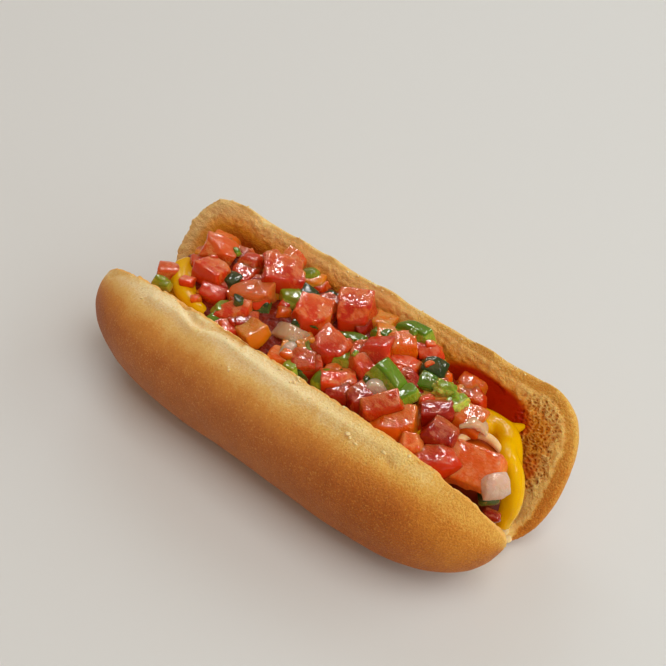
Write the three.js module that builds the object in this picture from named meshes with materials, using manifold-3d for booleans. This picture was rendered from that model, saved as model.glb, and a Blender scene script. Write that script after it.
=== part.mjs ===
// A hot dog: a soft bun split along its side and stood on the hinge, a frankfurter with a wave of mustard
// lying in the split, and a heap of diced tomato, chilli and onion on top.
// Millimetres. +X runs along the bun, -Y is the domed half, +Y the flat half, and +Z is up.
import * as THREE from "three";
import { mergeVertices } from "three/addons/utils/BufferGeometryUtils.js";
import Module from "manifold-3d";

const wasm = await Module();
wasm.setup();
const { clamp, degToRad } = THREE.MathUtils;

// ---- driving dimensions ----
const CLEARANCE = 0.35; // gap kept between pieces that touch

// Each half is a rounded slab that leans out from the hinge. rim and end are how far its rounding reaches
// down from the top edge and in from the ends, and power makes that rounding fuller.
const DOMED = {
  side: -1, length: 151, thick: 22.7, high: 42.4, rim: 21.2, end: 52, power: 2.4, lean: 13.8, x: -1, y: -3.6,
};
const FLAT = {
  side: 1, length: 148, thick: 12.6, high: 48.3, rim: 23, end: 13.5, power: 2, lean: 32.5, x: 2.5, y: 1.9,
};
const SLAB_STEPS = { along: 38, across: 4, up: 10 };
const SWELL = 0.25; // how far the crust rises and sinks from an even curve
const TORN = { depth: 1.2, band: 8 }; // ragged crumb along the flat half's cut edge
// Folds across the domed half's top edge.
const CREASES = [
  { x: -33, width: 3, depth: 1.2 },
  { x: -25, width: 2.5, depth: 0.8 },
  { x: 58, width: 3.5, depth: 1 },
];
const HINGE = { length: 141, wide: 29, high: 13, end: 30, power: 2.3, y: -0.5 };
const HINGE_STEPS = { along: 20, across: 6, up: 4 };
const FLOOR_TRIM = 1.2; // crust pressed flat where the bun stands

const SAUSAGE = { from: -64, to: 70, radius: 11.6, y: 2.2, z: 21.5 };
const SAUSAGE_BOW = 1; // how far its middle bends towards the flat half

// The mustard is squeezed out in a wave over the frankfurter, and its last turn runs down the near end.
const MUSTARD = { radius: 2.8, sunk: 1.6, from: -55, to: 63, swing: 12.5, wave: 40, peak: 55, step: 4 };
const MUSTARD_END = [
  [67, 4.5, 31],
  [70, 1, 27.5],
  [71, -1.5, 23],
  [70, -3, 18],
];

// The salsa: a bare core, and the dice that show. Each die is [x, y, z, length, width, turn in degrees].
const CORE = { from: -56, to: 48, y: 5, z: 31.5, halfWide: 19, halfHigh: 6.5, cap: 15 };
const DIE = { height: 0.8, tip: 16, uneven: 0.12, taper: 0.3, seed: 4817 };
const TOMATO = [
  [-46, 10, 38, 10, 9, 20], [-49, 4, 36, 6, 6, 60], [-54, -4, 34, 8, 7, 35], [-35, 11, 38, 9, 8, 10],
  [-41, 2, 38, 12, 8, 0], [-36, -3, 36, 11, 8, 10], [-23, 13, 39, 13, 12, 30], [-32, 18, 38, 7, 6, 50],
  [-26, 20, 39, 8, 6, 80], [-21, -6, 36, 8, 7, 30], [-6, 7, 39, 13, 11, 20], [-4, -9, 36, 7, 6, 10],
  [3, -7, 37, 12, 8, 25], [2, 17, 39, 13, 12, 45], [6, 1, 39, 11, 10, 15], [17, 7, 39, 11, 9, 30],
  [21, 14, 40, 10, 8, 40], [28, 18, 38, 7, 7, 45], [25, 10, 37, 10, 8, 20], [17, -8, 36, 8, 7, 30],
  [23, -7, 37, 8, 8, 60], [30, -6, 39, 13, 7, 55], [35, -7, 36, 13, 9, 15], [42, 3, 38, 10, 8, 40],
  [47, -2, 37, 11, 9, 10], [43, -9, 36, 8, 6, 35], [51, -8, 35, 10, 8, 60], [49, 7, 36, 10, 8, 20],
  [59, -4, 36, 16, 11, 10],
];
const CHILLI = [
  [-53, -8, 34, 6, 5, 0], [-19, 20, 38, 7, 5, 60], [-21, 1, 37, 7, 6, 30], [-15, 14, 37, 9, 6, 0],
  [-13, 5, 36, 8, 5, 70], [-15, -8, 35, 7, 6, 30], [-29, -6, 36, 7, 6, 60], [2, -11, 37, 6, 5, 0],
  [11, -8, 37, 8, 6, 80], [-8, 17, 36, 7, 6, 0], [7, 9, 37, 9, 4, 20], [21, 20, 40, 13, 6, -10],
  [13, 15, 38, 6, 5, 0], [32, 14, 38, 8, 7, 30], [35, 9, 38, 8, 6, 0], [26, 2, 40, 13, 7, -10],
  [33, 1, 39, 8, 6, 60], [40, 9, 40, 8, 6, 30], [45, 8, 39, 8, 6, 80], [15, -3, 36, 8, 5, 0],
];
const ONION = [
  [-7, -2, 38, 14, 6, 0], [25, -2, 39, 8, 6, 40], [67, -5, 35, 9, 8, 50], [52, 6, 37, 8, 5, 30],
  [-25, 2, 39, 13, 8, 30],
];

const CRUST = 0xd69a52;
const MEAT = 0x8a2a18;
const SALSA = 0xc23a24;

// ---- solids from meshes, and back ----
// The geometry with only its positions, and each shared corner kept once.
function cornersOnly(geometry) {
  const bare = geometry.index ? geometry.toNonIndexed() : geometry.clone();
  bare.deleteAttribute("normal");
  bare.deleteAttribute("uv");
  return mergeVertices(bare, 1e-4);
}

function solidFrom(geometry) {
  const merged = cornersOnly(geometry);
  return new wasm.Manifold(
    new wasm.Mesh({
      numProp: 3,
      vertProperties: merged.attributes.position.array,
      triVerts: new Uint32Array(merged.index.array),
    }),
  );
}

function geometryFrom(solid) {
  const mesh = solid.getMesh();
  const positions = new Float32Array(mesh.numVert * 3);
  for (let i = 0; i < mesh.numVert; i++) {
    const start = i * mesh.numProp;
    positions.set(mesh.vertProperties.subarray(start, start + 3), i * 3);
  }
  const geometry = new THREE.BufferGeometry();
  geometry.setAttribute("position", new THREE.BufferAttribute(positions, 3));
  geometry.setIndex(new THREE.BufferAttribute(new Uint32Array(mesh.triVerts), 1));
  return geometry;
}

// Swaps two corners of every triangle, for a shape that was mirrored.
function reversed(geometry) {
  const loose = geometry.toNonIndexed();
  const p = loose.attributes.position;
  for (let i = 0; i < p.count; i += 3) {
    const b = new THREE.Vector3().fromBufferAttribute(p, i + 1);
    const c = new THREE.Vector3().fromBufferAttribute(p, i + 2);
    p.setXYZ(i + 1, c.x, c.y, c.z);
    p.setXYZ(i + 2, b.x, b.y, b.z);
  }
  return loose;
}

function largestPiece(solid) {
  return solid.decompose().sort((a, b) => b.volume() - a.volume())[0];
}

function seededRandom(seed) {
  let state = seed;
  return () => {
    state = (state * 16807) % 2147483647;
    return state / 2147483647;
  };
}

// ---- bun ----
// How far the crust stands proud of its even curve, from slow waves along and up the half.
function swellAt(x, z, side) {
  const slow = Math.sin(0.071 * x + 1.3 * side);
  const quick = Math.sin(0.16 * x + 0.12 * z) + Math.sin(0.19 * z - 0.05 * x);
  return (SWELL * (slow + quick)) / 2;
}

function creaseAt(x, fromTop) {
  let depth = 0;
  for (const crease of CREASES) {
    const near = Math.exp(-(((x - crease.x) / crease.width) ** 2));
    depth += crease.depth * near * Math.exp(-fromTop / 8);
  }
  return depth;
}

function tornAt(x, fromTop) {
  const rag = Math.sin(0.55 * x) + Math.sin(1.27 * x + 2) + Math.sin(0.21 * x + 1);
  return TORN.depth * 0.33 * rag * Math.max(0, 1 - fromTop / TORN.band);
}

// Pulls a point of a box in towards rounded corners. flat is half the stretch each way that stays as it is,
// and reach is how far the rounding goes on past it.
function roundedOff(point, flat, reach, power) {
  const inner = point.clone().clamp(flat.clone().negate(), flat);
  const d = point.clone().sub(inner).divide(reach);
  const most = Math.max(Math.abs(d.x), Math.abs(d.y), Math.abs(d.z));
  if (most === 0) return inner;
  const sum = Math.abs(d.x) ** power + Math.abs(d.y) ** power + Math.abs(d.z) ** power;
  return inner.add(d.multiplyScalar(most / sum ** (1 / power)).multiply(reach));
}

// One half of the bun, larger all over by grow. A box's outer side is rounded, its crust is made uneven, and
// it is then leaned out from the hinge line.
function bunHalf(half, grow) {
  const long = half.length + 2 * grow;
  const thick = half.thick + 2 * grow;
  const high = half.high + 2 * grow;
  const { along, across, up } = SLAB_STEPS;
  const geometry = new THREE.BoxGeometry(long, thick, high, along, across, up);
  const reach = new THREE.Vector3(half.end, thick, half.rim);
  const flat = new THREE.Vector3(long / 2 - reach.x, 0, high / 2 - reach.z);
  const p = geometry.attributes.position;
  for (let i = 0; i < p.count; i++) {
    const corner = new THREE.Vector3(p.getX(i), p.getY(i) + thick / 2, p.getZ(i));
    const placed = roundedOff(corner, flat, reach, half.power);
    const fromTop = high / 2 - placed.z;
    const crust = placed.y / thick;
    placed.y += crust * swellAt(placed.x, placed.z, half.side);
    if (half.side < 0) placed.z -= creaseAt(placed.x, fromTop);
    else placed.z += (1 - crust) ** 3 * tornAt(placed.x, fromTop);
    p.setXYZ(i, placed.x, half.side * (placed.y - grow), placed.z + half.high / 2);
  }
  const turned = half.side < 0 ? reversed(geometry) : geometry;
  turned.rotateX(degToRad(-half.side * half.lean));
  turned.translate(half.x, half.y, 0);
  return solidFrom(turned);
}

// The uncut bread along the bottom that holds the halves together.
function hinge(grow) {
  const size = new THREE.Vector3(HINGE.length, HINGE.wide, HINGE.high).addScalar(2 * grow);
  const { along, across, up } = HINGE_STEPS;
  const bar = new THREE.BoxGeometry(size.x, size.y, size.z, along, across, up);
  const reach = new THREE.Vector3(HINGE.end, size.y / 2, size.z / 2);
  const flat = new THREE.Vector3(size.x / 2 - HINGE.end, 0, 0);
  const p = bar.attributes.position;
  for (let i = 0; i < p.count; i++) {
    const placed = roundedOff(new THREE.Vector3().fromBufferAttribute(p, i), flat, reach, HINGE.power);
    p.setXYZ(i, placed.x, placed.y, placed.z);
  }
  bar.translate(0, HINGE.y, HINGE.high / 2 - FLOOR_TRIM);
  return solidFrom(bar);
}

function bunBody(grow) {
  return bunHalf(DOMED, grow).add(bunHalf(FLAT, grow)).add(hinge(grow));
}

// ---- frankfurter and mustard ----
function bowAt(x) {
  const half = (SAUSAGE.to - SAUSAGE.from) / 2;
  return SAUSAGE_BOW * (1 - (x / half) ** 2);
}

function sausageBody(grow) {
  const straight = SAUSAGE.to - SAUSAGE.from - 2 * SAUSAGE.radius;
  const body = new THREE.CapsuleGeometry(SAUSAGE.radius + grow, straight, 5, 20, 6);
  body.rotateZ(Math.PI / 2);
  const p = body.attributes.position;
  for (let i = 0; i < p.count; i++) p.setY(i, p.getY(i) + bowAt(p.getX(i)));
  body.translate((SAUSAGE.from + SAUSAGE.to) / 2, SAUSAGE.y, SAUSAGE.z);
  return solidFrom(body);
}

// Height of the mustard's middle line, riding round the frankfurter at a set distance from its axis.
function mustardHeight(x, y) {
  const ride = SAUSAGE.radius + MUSTARD.radius - MUSTARD.sunk;
  const pastEnd = Math.max(0, Math.abs(x) - SAUSAGE.to + SAUSAGE.radius);
  const across = y - SAUSAGE.y;
  return SAUSAGE.z + Math.sqrt(Math.max(ride ** 2 - across ** 2 - pastEnd ** 2, 30));
}

function mustard(grow) {
  const points = [];
  for (let x = MUSTARD.from; x <= MUSTARD.to; x += MUSTARD.step) {
    const y = SAUSAGE.y + MUSTARD.swing * Math.cos((2 * Math.PI * (x - MUSTARD.peak)) / MUSTARD.wave);
    points.push(new THREE.Vector3(x, y, mustardHeight(x, y)));
  }
  for (const [x, y, z] of MUSTARD_END) points.push(new THREE.Vector3(x, y, z));
  const section = new THREE.Shape().absarc(0, 0, MUSTARD.radius + grow, 0, 2 * Math.PI);
  const path = new THREE.CatmullRomCurve3(points);
  return solidFrom(new THREE.ExtrudeGeometry(section, { steps: 64, curveSegments: 4, extrudePath: path }));
}

// ---- salsa ----
function core() {
  const straight = CORE.to - CORE.from - 2 * CORE.cap;
  const body = new THREE.CapsuleGeometry(CORE.cap, straight, 5, 20, 1);
  body.rotateZ(Math.PI / 2);
  body.scale(1, CORE.halfWide / CORE.cap, CORE.halfHigh / CORE.cap);
  body.translate((CORE.from + CORE.to) / 2, CORE.y, CORE.z);
  return solidFrom(body);
}

// A die with uneven corners, narrower on top, turned and tipped at random.
function die([x, y, z, long, wide, turn], random) {
  const box = cornersOnly(new THREE.BoxGeometry(long, wide, DIE.height * wide));
  const p = box.attributes.position;
  const narrow = 1 - DIE.taper * random();
  for (let i = 0; i < p.count; i++) {
    const top = p.getZ(i) > 0 ? narrow : 1;
    const stretch = () => 1 + DIE.uneven * (2 * random() - 1);
    p.setXYZ(i, p.getX(i) * top * stretch(), p.getY(i) * top * stretch(), p.getZ(i) * stretch());
  }
  box.rotateX(degToRad(DIE.tip * (2 * random() - 1)));
  box.rotateY(degToRad(DIE.tip * (2 * random() - 1)));
  box.rotateZ(degToRad(turn));
  box.translate(x, y, z);
  return solidFrom(box);
}

// ---- assembly ----
const whole = bunBody(0);
const low = whole.boundingBox().min[2] + FLOOR_TRIM;
const below = solidFrom(new THREE.BoxGeometry(300, 300, 60).translate(0, 0, low - 30));
const bun = whole.subtract(below).subtract(sausageBody(CLEARANCE));
const bunSpace = bunBody(CLEARANCE);

const sausage = sausageBody(0).add(largestPiece(mustard(0).subtract(bunSpace)));

const random = seededRandom(DIE.seed);
let heap = core();
for (const place of [...TOMATO, ...CHILLI, ...ONION]) heap = heap.add(die(place, random));
const salsa = heap.subtract(bunSpace).subtract(sausageBody(CLEARANCE)).subtract(mustard(CLEARANCE));

// The origin is the middle of the bun's footprint, on the floor.
const { min, max } = bun.boundingBox();
const group = new THREE.Group();
group.position.set(-(min[0] + max[0]) / 2, -(min[1] + max[1]) / 2, -min[2]);

function addNode(name, solid, colour, roughness) {
  const material = new THREE.MeshStandardMaterial({ color: colour, roughness, metalness: 0 });
  const mesh = new THREE.Mesh(geometryFrom(solid), material);
  mesh.name = name;
  group.add(mesh);
}
addNode("bun", bun, CRUST, 0.65);
addNode("sausage", sausage, MEAT, 0.35);
addNode("salsa", largestPiece(salsa), SALSA, 0.3);

export default group;
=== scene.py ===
"""A hot dog, laid out as a Blender add-on and run as a script.

A soft bun split along its side stands on the uncut crust. A frankfurter with a wave of mustard lies in the
split, under a heap of diced tomato, chilli and onion. +X runs along the bun, -Y is its domed half, +Y its
flat half and +Z is up. Blender works in metres; the sizes below are in millimetres and are multiplied by MM.
"""

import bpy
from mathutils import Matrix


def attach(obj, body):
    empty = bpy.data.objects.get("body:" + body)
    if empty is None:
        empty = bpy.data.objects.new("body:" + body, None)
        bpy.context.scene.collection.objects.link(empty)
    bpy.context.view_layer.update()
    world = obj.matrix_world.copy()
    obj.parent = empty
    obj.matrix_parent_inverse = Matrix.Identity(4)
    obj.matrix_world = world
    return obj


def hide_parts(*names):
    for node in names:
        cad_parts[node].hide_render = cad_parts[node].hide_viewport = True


bl_info = {
    "name": "Hot Dog",
    "version": (1, 0, 0),
    "blender": (4, 5, 0),
    "location": "View3D > Sidebar > Hot Dog",
    "description": "Builds a hot dog with mustard and a heap of diced tomato salsa",
    "category": "Add Mesh",
}

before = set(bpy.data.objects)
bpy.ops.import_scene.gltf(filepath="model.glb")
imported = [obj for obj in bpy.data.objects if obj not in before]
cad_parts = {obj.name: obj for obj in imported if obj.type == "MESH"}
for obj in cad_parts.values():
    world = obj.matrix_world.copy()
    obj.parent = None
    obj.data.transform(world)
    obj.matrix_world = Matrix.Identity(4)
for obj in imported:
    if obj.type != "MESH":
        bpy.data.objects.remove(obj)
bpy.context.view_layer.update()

import math

import bpy
import numpy as np
from bpy.props import FloatProperty, FloatVectorProperty, PointerProperty
from mathutils import Matrix, Vector, noise
from mathutils.bvhtree import BVHTree
from mathutils.kdtree import KDTree

BODY = "root"
MM = 0.001


def tone(red, green, blue):
    """A colour from its 0 to 255 screen values, as the linear numbers that shaders use."""
    linear = []
    for value in (red, green, blue):
        share = value / 255
        linear.append(share / 12.92 if share <= 0.04045 else ((share + 0.055) / 1.055) ** 2.4)
    return tuple(linear)


# ---- sizes that the pieces share, in millimetres ----
# The inner face of each half of the bun leans out from the hinge: its foot's y, and its lean in degrees. The
# hinge is uncut bread up to its top.
DOMED_FACE = {"y": -3.6, "lean": 13.8, "side": -1}
FLAT_FACE = {"y": 1.9, "lean": 32.5, "side": 1}
HINGE_TOP = 11.8

# Folds across the crust by the domed half's torn edge.
FOLDS = [
    {"line": [(-38.3, -13.8, 40.6), (-35.8, -14.6, 40.4), (-33.2, -15.6, 40.1), (-30, -17.2, 39.9),
              (-26, -17, 40), (-23.2, -15.4, 40.6), (-18.5, -15, 41), (-13, -15.2, 41)],
     "width": 0.9, "depth": 1.5},
    {"line": [(42.3, -19.4, 38.4), (44.2, -19.8, 38), (46, -19, 38.1), (48.3, -16.3, 38.8),
              (49.5, -14.3, 38.9)],
     "width": 1.1, "depth": 1.0},
    {"line": [(-68.5, -15.5, 32.6), (-65.5, -15.2, 34.6), (-62.5, -14, 36.4)], "width": 1.0, "depth": 0.5},
]
# The soft ridge that runs along the crust a little out from that edge.
RIDGE = {"line": [(-46, -17.6, 38.9), (-36, -17.4, 39.6), (-28, -19.2, 39.2), (-18, -17, 40.2),
                  (-8, -17.8, 40), (8, -18.2, 39.9), (26, -18, 39.9), (38, -17, 39.8), (45, -15.6, 39.4)],
         "width": 1.7, "rise": 0.8}
# The near end of the domed half stays full where its torn edge runs out.
TIP = {"at": (73.5, -9, 23.5), "reach": 5.5, "rise": 1.3}
# The crust of the flat half rolls over its rim by this much at these places along the bun, before the torn
# ledge begins, and the ledge is about this wide.
ROLL = {"along": [-70, -50, 20, 55], "over": [0.8, 2.0, 2.0, 3.2], "ledge": 3.8}
# Patches on the flat half's inner face: middle x and z, half the patch's length and height, and its strength.
SOAKED = [(44, 29.5, 16, 6, 1), (65, 21, 2.4, 3.6, 0.55)]
OPEN_CRUMB = [(62.5, 31, 6.5, 7, 1), (66, 22.5, 4.5, 7, 1)]
# How brown the bread is, 0 pale to 1 brown. Round the domed half, in degrees from straight up about this y
# and z: in the middle, towards the near end and at its tip, with the stretches of x where these two begin;
# the tip's paler crust is partly painted light from the right. On the flat half's wall: by how far in from
# its rim, where the crumb darkening deeper into the split is partly painted shade.
BAKE = {"y": -10, "z": 20, "turn": [10, 20, 32, 45, 60, 90, 120],
        "middle": [0.15, 0.0, 0.2, 0.48, 0.72, 0.8, 0.8],
        "end": [0.16, 0.02, 0.24, 0.58, 0.8, 0.82, 0.82], "end_x": (15, 50),
        "tip": [0.3, 0.26, 0.32, 0.44, 0.5, 0.58, 0.68], "tip_x": (48, 66),
        "in": [0, 1.5, 3, 5, 7, 10],
        "wall": [0.12, 0.16, 0.34, 0.66, 0.95, 1.05]}
# The domed half's torn edge: how high its fine wrinkles rise and how deep its notches cut.
EDGE = {"wrinkle": 0.22, "notch": 0.5}
# Bubbles in the open crumb: their sizes, and how deep they are as a share of the torn crumb's depth.
PORES = {"small": 1.1, "large": 1.9, "depth": 0.7}

# The frankfurter's bare top turns a lighter orange, oily skin and partly a painted sheen, from the first of
# these heights to the second, short of its near end.
SAUSAGE = {"from": -64, "to": 70, "radius": 11.6, "y": 2.2, "z": 21.5, "bow": 1, "grain": 0.9,
           "oily_z": (27, 31), "oily_x": (66, 62)}
# The mustard's wave along the frankfurter: how far it sinks in, how far it swings to each side, how long one
# wave is, where one peaks, how far apart its points are, and how its two ends thin out.
MUSTARD = {"radius": 2.8, "sunk": 1.6, "from": -55, "to": 63, "swing": 12.5, "wave": 40, "peak": 55,
           "step": 2, "start": 0.6, "tail": 0.5}
# From the wave's last point it runs down the near end.
MUSTARD_END = [(67, 4.5, 31), (70, 1, 27.5), (71, -1.5, 23), (70, -3, 18)]
# Where the mustard lies thick, as lines of x, y, z and radius: the band along the flat half's wall, the peak
# that it draws up there, and the two strokes at the far end.
MUSTARD_THICK = [
    [(46, 17, 28.4, 2.2), (50, 16.4, 28.8, 3), (54.5, 16, 29, 3.4), (58.6, 14.4, 29.4, 3.5),
     (61.6, 10.6, 29.6, 3.4), (64.4, 6.4, 29, 3.4), (67.2, 2, 27.4, 3.3), (69.4, -1.4, 23.6, 3),
     (70, -3, 17.5, 2.2)],
    [(55.5, 15.5, 29, 2.4), (57.6, 18.6, 28.8, 1.9), (59.2, 21.6, 28.6, 0.8)],
    [(-55, 4.5, 32.6, 2.2), (-53, 1, 33.6, 3), (-50, -3.6, 33.8, 3.2), (-45, -7, 34.2, 3.2),
     (-40, -8.6, 34.4, 2.8), (-35, -9, 34, 2.4), (-31, -8.5, 32, 1.6)],
    [(-51, 4, 32.6, 2), (-48.5, 0, 33.6, 2.8), (-45, -3, 33.6, 2.8), (-39, -3.4, 33, 2.4)],
]
# The cream-coloured sauce runs round the bare top of the frankfurter's near end.
CREAM_LINE = [(53.5, -5.6, 33.2), (51.4, -2.4, 34.2), (50.6, 1.2, 34.6), (51.4, 4.2, 34.6), (53.6, 6.8, 34.2),
              (56, 7.6, 33.8), (59, 7.4, 33.4), (62, 5.6, 33)]
CREAM = {"radius": 1.3, "end": 0.5}

# The bed of pulp: its middle and half its size each way.
CORE = {"x": -4, "y": 5, "z": 31.5, "half_long": 52, "half_wide": 19, "half_high": 6.5, "grain": 0.7}
# A die's height as a share of its width, how many degrees it may tip, how far its corners may move, how much
# it may narrow upwards, the widest bevel as a share of its size, and a number to start the random draws.
DIE = {"height": 0.8, "tip": 16, "uneven": 0.12, "taper": 0.3, "bevel": 0.12, "seed": 4817}
# Each die is x, y, z, length, width, its turn in degrees and its tone.
TOMATO = [
    (-46, 10, 38, 10, 9, 20, "pale"), (-49, 4, 36, 6, 6, 60, "red"), (-54, -4, 34, 8, 7, 35, "pale"),
    (-35, 11, 38, 9, 8, 10, "pink"), (-41, 2, 38, 12, 8, 0, "pink"), (-36, -3, 36, 11, 8, 10, "red"),
    (-23, 13, 39, 13, 12, 30, "rosy"), (-32, 18, 38, 7, 6, 50, "pink"), (-26, 20, 39, 8, 6, 80, "pale"),
    (-21, -6, 36, 8, 7, 30, "deep"), (-6, 7, 39, 13, 11, 20, "pink"), (-4, -9, 36, 7, 6, 10, "orange"),
    (3, -7, 37, 12, 8, 25, "red"), (2, 17, 39, 13, 12, 45, "rosy"), (6, 1, 39, 11, 10, 15, "red"),
    (17, 7, 39, 11, 9, 30, "red"), (21, 14, 40, 10, 8, 40, "orange"), (28, 18, 38, 7, 7, 45, "pink"),
    (25, 10, 37, 10, 8, 20, "pink"), (17, -8, 36, 8, 7, 30, "deep"), (23, -7, 37, 8, 8, 60, "deep"),
    (30, -6, 39, 13, 7, 55, "pink"), (35, -7, 36, 13, 9, 15, "orange"), (42, 3, 38, 10, 8, 40, "deep"),
    (47, -2, 37, 11, 9, 10, "deep"), (43, -9, 36, 8, 6, 35, "pale"), (51, -8, 35, 10, 8, 60, "red"),
    (49, 7, 36, 10, 8, 20, "orange"), (59, -4, 36, 16, 11, 10, "slab"),
]
CHILLI = [
    (-53, -8, 34, 6, 5, 0, "light"), (-19, 20, 38, 7, 5, 60, "oval"), (-21, 1, 37, 7, 6, 30, "dark"),
    (-15, 14, 37, 9, 6, 0, "dark"), (-13, 5, 36, 8, 5, 70, "dark"), (-15, -8, 35, 7, 6, 30, "dark"),
    (-29, -6, 36, 7, 6, 60, "light"), (2, -11, 37, 6, 5, 0, "light"), (11, -8, 37, 8, 6, 80, "oval"),
    (-8, 17, 36, 7, 6, 0, "dark"), (7, 9, 37, 9, 4, 20, "bright"), (21, 20, 40, 13, 6, -10, "bright"),
    (13, 15, 38, 6, 5, 0, "bright"), (32, 14, 38, 8, 7, 30, "dark"), (35, 9, 38, 8, 6, 0, "bright"),
    (26, 2, 40, 13, 7, -10, "bright"), (33, 1, 39, 8, 6, 60, "bright"), (40, 9, 40, 8, 6, 30, "seedy"),
    (45, 8, 39, 8, 6, 80, "seedy"), (15, -3, 36, 8, 5, 0, "dark"),
]
ONION = [
    (-7, -2, 38, 14, 6, 0, "clear"), (25, -2, 39, 8, 6, 40, "white"), (67.4, -5.4, 35.6, 9, 8, 50, "white"),
    (52, 6, 37, 8, 5, 30, "clear"), (-25, 2, 39, 13, 8, 30, "peel"),
]
# The colour of each tone's flesh and of its skin.
TONES = {
    "pale": (tone(246, 140, 66), tone(230, 84, 16)),
    "pink": (tone(234, 104, 30), tone(218, 52, 2)),
    "rosy": (tone(236, 104, 36), tone(210, 38, 0)),
    "red": (tone(224, 72, 6), tone(212, 44, 0)),
    "deep": (tone(182, 38, 2), tone(164, 20, 0)),
    "orange": (tone(238, 112, 10), tone(234, 92, 0)),
    "amber": (tone(244, 150, 36), tone(238, 124, 4)),
    "slab": (tone(240, 118, 40), tone(230, 90, 6)),
    "light": (tone(180, 182, 56), tone(126, 142, 10)),
    "oval": (tone(156, 164, 26), tone(104, 126, 6)),
    "bright": (tone(146, 164, 40), tone(80, 120, 4)),
    "dark": (tone(86, 104, 36), tone(30, 56, 14)),
    "seedy": (tone(200, 204, 78), tone(120, 152, 10)),
    "clear": (tone(246, 206, 164), tone(238, 182, 130)),
    "white": (tone(240, 212, 186), tone(234, 198, 166)),
    "peel": (tone(252, 150, 66), tone(246, 112, 24)),
}
# Where the mustard and the bare frankfurter show, so that no chunk or bit covers them: x, y and radius.
KEEP_CLEAR = [(-53, 1.5, 2.5), (-49, -4.5, 2), (-43.5, -5.5, 3), (-39, -5, 2.5), (-9, -2, 3), (56, 4, 6),
              (60, 12, 6), (66, 5, 6)]
# Tones that are not cut as blocks.
FORMS = {"oval": "round", "seedy": "knobbly", "clear": "curl", "white": "worn", "slab": "wedge"}
# How far these forms are pulled into a ball, the share of its size that a worn die keeps, and how uneven a
# round one's surface stays.
ROUNDNESS = {"round": 0.9, "knobbly": 0.6, "worn": 0.35}
KEPT_SIZE = {"worn": 0.85}
CRAGGY = {"round": 0.4}
# Cuts that a form always has: a point on the cut, as shares of half the die's size, and the way it faces.
CUTS = {"wedge": [((0, 0, 0.1), (0.1, -0.25, 1))],
        "worn": [((-0.55, 0.55, 0.55), (-0.62, 0.61, 0.49)), ((0.7, -0.7, -0.7), (0.62, -0.61, -0.49))]}
# Most skins face this way along x and y.
FRONT = (0.66, -0.75)
# Small pieces with a place of their own, like the dice above.
SET_BITS = {
    "tomato": [(69, -7.5, 26.5, 4.5, 3.5, 30, "deep"), (-2, -8, 38.5, 4.5, 3.5, 10, "orange"),
               (-45, -5, 37.4, 4.5, 3.5, 20, "pink"), (-38.5, -8, 36.6, 3.2, 2.8, 50, "orange")],
    "chilli": [(66.3, -6.2, 29.5, 5.5, 4, 40, "dark"), (-50, -9.5, 35.5, 4, 3, 20, "light")],
    "onion": [],
}
# For each kind: its dice, the tones of its small pieces, how many chunks fill the gaps and how many bits lie
# on top, whether a die's skin lies on its front side or on top, how uneven its cut faces are, how much the
# colours of flesh and skin run together, how clear the flesh is, how strongly its level faces are paled by a
# painted reflection of the bright sky in the juice, how wet it is and a number to start its random draws.
KINDS = {
    "tomato": {"dice": TOMATO, "tones": ("red", "pink", "deep", "orange", "red", "amber"),
               "chunks": 84, "bits": 10,
               "skin": "front", "crag": 0.9, "mixed": 1, "clear": 0.1, "painted_top_sheen": 0.38, "wet": 1, "seed": 311},
    "chilli": {"dice": CHILLI, "tones": ("bright", "dark", "light"), "chunks": 12, "bits": 6,
               "skin": "top", "crag": 0.6, "mixed": 0.3, "clear": 0.05, "painted_top_sheen": 0.1, "wet": 1, "seed": 523},
    "onion": {"dice": ONION, "tones": ("peel", "white"), "chunks": 2, "bits": 1,
              "skin": "top", "crag": 0.7, "mixed": 0.8, "clear": 0.3, "painted_top_sheen": 0.2, "wet": 0.7, "seed": 727},
}
# How many degrees a block may twist, how much it may taper, and how far its skin side swells.
TWIST = {"turn": 34, "taper": 0.35, "bulge": 0.25}
# Cuts off a block: how far they may lean, and where they lie between the die's middle, 0, and its corner, 1.
KNIFE = {"skew": 0.6, "reach": 0.58, "spread": 0.28}
# A curled slice: half its thickness, and how far its middle rises and its ends droop, as shares of its size.
CURL = {"half_thick": 0.75, "rise": 0.6, "droop": 0.9}
# Cut faces are uneven in broad and in fine lumps of these sizes.
LUMPS = {"broad": 3.4, "fine": 1.2, "fine_share": 0.4}
# Each die's colours are multiplied by a random factor, from this one up by the spread.
SHADE = {"from": 0.78, "spread": 0.32}
# Chunks and bits: their sizes, the part of the bed that they may lie on, and how high a chunk's middle lies
# above the bed, and how deep a bit sinks, as shares of their sizes.
CHUNK = {"small": 4, "large": 8, "long_share": 0.94, "wide_share": 0.8, "raised": 0.05}
BIT = {"small": 1.6, "large": 3.2, "from": -54, "to": 58, "wide_share": 0.85, "sunk": 0.1}
# Crumbs on the crust: x, y and size.
CRUMBS = [(-10.7, -22.7, 1.0), (-11.4, -22.2, 0.6), (29.9, -19.7, 1.2), (30.9, -20.1, 0.8),
          (10.5, -17.8, 0.7), (33, -20.5, 0.7), (69.6, 1.2, 3), (68.2, 2.2, 2.2)]
# Scattered ones lie along both torn edges: where each strip starts in y, and how wide it is.
LOOSE_CRUMBS = {"count": 46, "small": 0.5, "large": 1.1, "from": -60, "to": 60, "domed": (-14.5, -5),
                "flat": (27.2, 1.5), "seed": 1201}
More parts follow.
